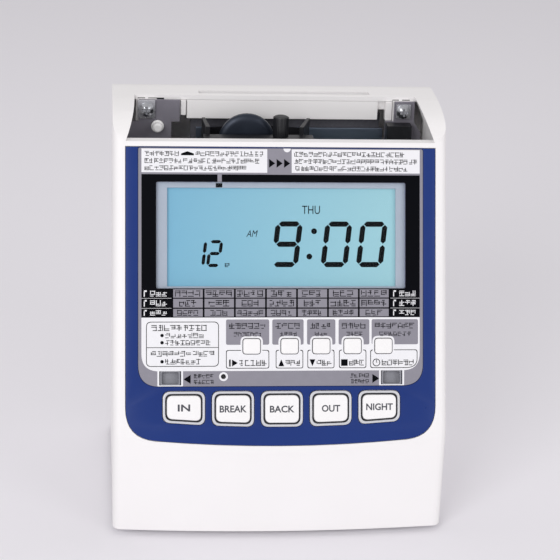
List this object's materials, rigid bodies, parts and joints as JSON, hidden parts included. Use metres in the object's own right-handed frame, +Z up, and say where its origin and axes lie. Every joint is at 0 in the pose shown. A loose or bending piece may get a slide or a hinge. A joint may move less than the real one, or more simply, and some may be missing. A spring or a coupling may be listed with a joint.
{
  "type": "punch time clock",
  "caption": "Desktop punch time clock with sloped display and key panel, top card slot and open printer bay with sliding print head and ribbon cassette.",
  "frame": {"origin": "on the surface it stands on, under the middle of the overall box", "axes": "+X to the right seen from the front, +Y to the back, +Z up"},
  "size_m": [0.174, 0.134, 0.211],
  "materials": {
    "casing_abs": "fine moulded texture, white ABS",
    "panel_blue": "smooth satin, moulded blue",
    "label_film": "printed polyester film, matt",
    "clear_window": "clear acrylic",
    "lcd_glass": "backlit liquid crystal glass",
    "grey_plastic": "moulded grey",
    "key_plastic": "moulded off-white",
    "black_plastic": "moulded black acetal",
    "ribbon_fabric": "inked nylon",
    "dark_steel": "dark phosphated steel",
    "zinc_steel": "zinc plated",
    "rubber": "moulded rubber",
    "circuit_board": "green solder mask",
    "battery_wrap": "shrink wrap"
  },
  "bodies": {
    "frame": {"front_case": "casing_abs", "rear_case": "casing_abs", "base_plate": "casing_abs", "card_throat": "casing_abs", "operation_panel": "panel_blue", "instruction_label": "label_film", "lcd_window": "clear_window", "lcd_module": "lcd_glass", "lcd_frame": "grey_plastic", "latch_socket_left": "grey_plastic", "latch_socket_right": "grey_plastic", "button_bezel": "key_plastic", "locating_pin": "key_plastic", "sensor_block": "black_plastic", "power_inlet": "black_plastic", "chassis": "dark_steel", "case_screw_left": "zinc_steel", "case_screw_right": "zinc_steel", "chassis_screw_left": "zinc_steel", "chassis_screw_right": "zinc_steel", "card_guide_front": "zinc_steel", "card_guide_rear": "zinc_steel", "guide_shaft_front": "zinc_steel", "guide_shaft_rear": "zinc_steel", "carriage_motor": "zinc_steel", "feed_motor": "zinc_steel", "power_unit": "zinc_steel", "foot_front_left": "rubber", "foot_front_right": "rubber", "foot_rear_left": "rubber", "foot_rear_right": "rubber", "platen": "rubber", "key_mat": "rubber", "carriage_belt": "rubber", "display_board": "circuit_board", "main_board": "circuit_board", "backup_battery": "battery_wrap"},
    "carriage": {"carriage": "black_plastic", "print_head": "dark_steel"},
    "cassette": {"ribbon_cassette": "black_plastic", "ink_ribbon": "ribbon_fabric"},
    "ribbon_knob": {"ribbon_knob": "black_plastic"},
    "drive_pulley": {"drive_pulley": "key_plastic"},
    "idler_pulley": {"idler_pulley": "key_plastic"},
    "feed_roller": {"feed_roller": "rubber", "feed_gear": "key_plastic"},
    "pinch_roller": {"pinch_roller": "rubber"},
    "feed_pinion": {"feed_pinion": "zinc_steel"},
    "reset_pin": {"reset_pin": "black_plastic"},
    "mode_button_in": {"mode_button_in": "key_plastic"},
    "mode_button_break": {"mode_button_break": "key_plastic"},
    "mode_button_back": {"mode_button_back": "key_plastic"},
    "mode_button_out": {"mode_button_out": "key_plastic"},
    "mode_button_night": {"mode_button_night": "key_plastic"},
    "setting_key_month": {"setting_key_month": "key_plastic"},
    "setting_key_day": {"setting_key_day": "key_plastic"},
    "setting_key_hour": {"setting_key_hour": "key_plastic"},
    "setting_key_minute": {"setting_key_minute": "key_plastic"},
    "setting_key_set": {"setting_key_set": "key_plastic"}
  },
  "joints": [
    {"name": "mode_in_press", "type": "slide", "parent": "frame", "child": "mode_button_in", "axis": [0, 0.9272, -0.3746], "range_m": [0, 0.001], "stiffness_N_per_m": 400},
    {"name": "mode_break_press", "type": "slide", "parent": "frame", "child": "mode_button_break", "axis": [0, 0.9272, -0.3746], "range_m": [0, 0.001], "stiffness_N_per_m": 400},
    {"name": "mode_back_press", "type": "slide", "parent": "frame", "child": "mode_button_back", "axis": [0, 0.9272, -0.3746], "range_m": [0, 0.001], "stiffness_N_per_m": 400},
    {"name": "mode_out_press", "type": "slide", "parent": "frame", "child": "mode_button_out", "axis": [0, 0.9272, -0.3746], "range_m": [0, 0.001], "stiffness_N_per_m": 400},
    {"name": "mode_night_press", "type": "slide", "parent": "frame", "child": "mode_button_night", "axis": [0, 0.9272, -0.3746], "range_m": [0, 0.001], "stiffness_N_per_m": 400},
    {"name": "set_month_press", "type": "slide", "parent": "frame", "child": "setting_key_month", "axis": [0, 0.9272, -0.3746], "range_m": [0, 0.0008], "stiffness_N_per_m": 400},
    {"name": "set_day_press", "type": "slide", "parent": "frame", "child": "setting_key_day", "axis": [0, 0.9272, -0.3746], "range_m": [0, 0.0008], "stiffness_N_per_m": 400},
    {"name": "set_hour_press", "type": "slide", "parent": "frame", "child": "setting_key_hour", "axis": [0, 0.9272, -0.3746], "range_m": [0, 0.0008], "stiffness_N_per_m": 400},
    {"name": "set_minute_press", "type": "slide", "parent": "frame", "child": "setting_key_minute", "axis": [0, 0.9272, -0.3746], "range_m": [0, 0.0008], "stiffness_N_per_m": 400},
    {"name": "set_set_press", "type": "slide", "parent": "frame", "child": "setting_key_set", "axis": [0, 0.9272, -0.3746], "range_m": [0, 0.0008], "stiffness_N_per_m": 400},
    {"name": "reset_press", "type": "slide", "parent": "frame", "child": "reset_pin", "axis": [0, 0.9272, -0.3746], "range_m": [0, 0.0009], "stiffness_N_per_m": 200},
    {"name": "carriage_slide", "type": "slide", "parent": "frame", "child": "carriage", "axis": [1, 0, 0], "range_m": [-0.019, 0.036]},
    {"name": "drive_pulley_spin", "type": "hinge", "parent": "frame", "child": "drive_pulley", "pos_m": [-0.066, 0.028, 0.153], "axis": [0, 1, 0], "continuous": true},
    {"name": "idler_pulley_spin", "type": "hinge", "parent": "frame", "child": "idler_pulley", "pos_m": [0.066, 0.028, 0.153], "axis": [0, 1, 0], "continuous": true},
    {"name": "cassette_lift", "type": "slide", "parent": "carriage", "child": "cassette", "axis": [0, 0, 1], "range_m": [0, 0.03]},
    {"name": "ribbon_knob_turn", "type": "hinge", "parent": "cassette", "child": "ribbon_knob", "pos_m": [0.0009, 0.0095, 0.2], "axis": [0, 0, 1], "continuous": true},
    {"name": "feed_roller_turn", "type": "hinge", "parent": "frame", "child": "feed_roller", "pos_m": [0, 0.0504, 0.125], "axis": [1, 0, 0], "continuous": true},
    {"name": "pinch_roller_turn", "type": "hinge", "parent": "frame", "child": "pinch_roller", "pos_m": [0, 0.0323, 0.125], "axis": [1, 0, 0], "continuous": true},
    {"name": "feed_pinion_turn", "type": "hinge", "parent": "frame", "child": "feed_pinion", "pos_m": [0.0685, 0.0504, 0.1078], "axis": [1, 0, 0], "continuous": true}
  ],
  "couplings": [
    {"joint": "drive_pulley_spin", "follows": "carriage_slide", "rad_per_m": 185.19},
    {"joint": "idler_pulley_spin", "follows": "carriage_slide", "rad_per_m": 185.19},
    {"joint": "pinch_roller_turn", "follows": "feed_roller_turn", "ratio": -1.64},
    {"joint": "feed_pinion_turn", "follows": "feed_roller_turn", "ratio": -2.4}
  ]
}
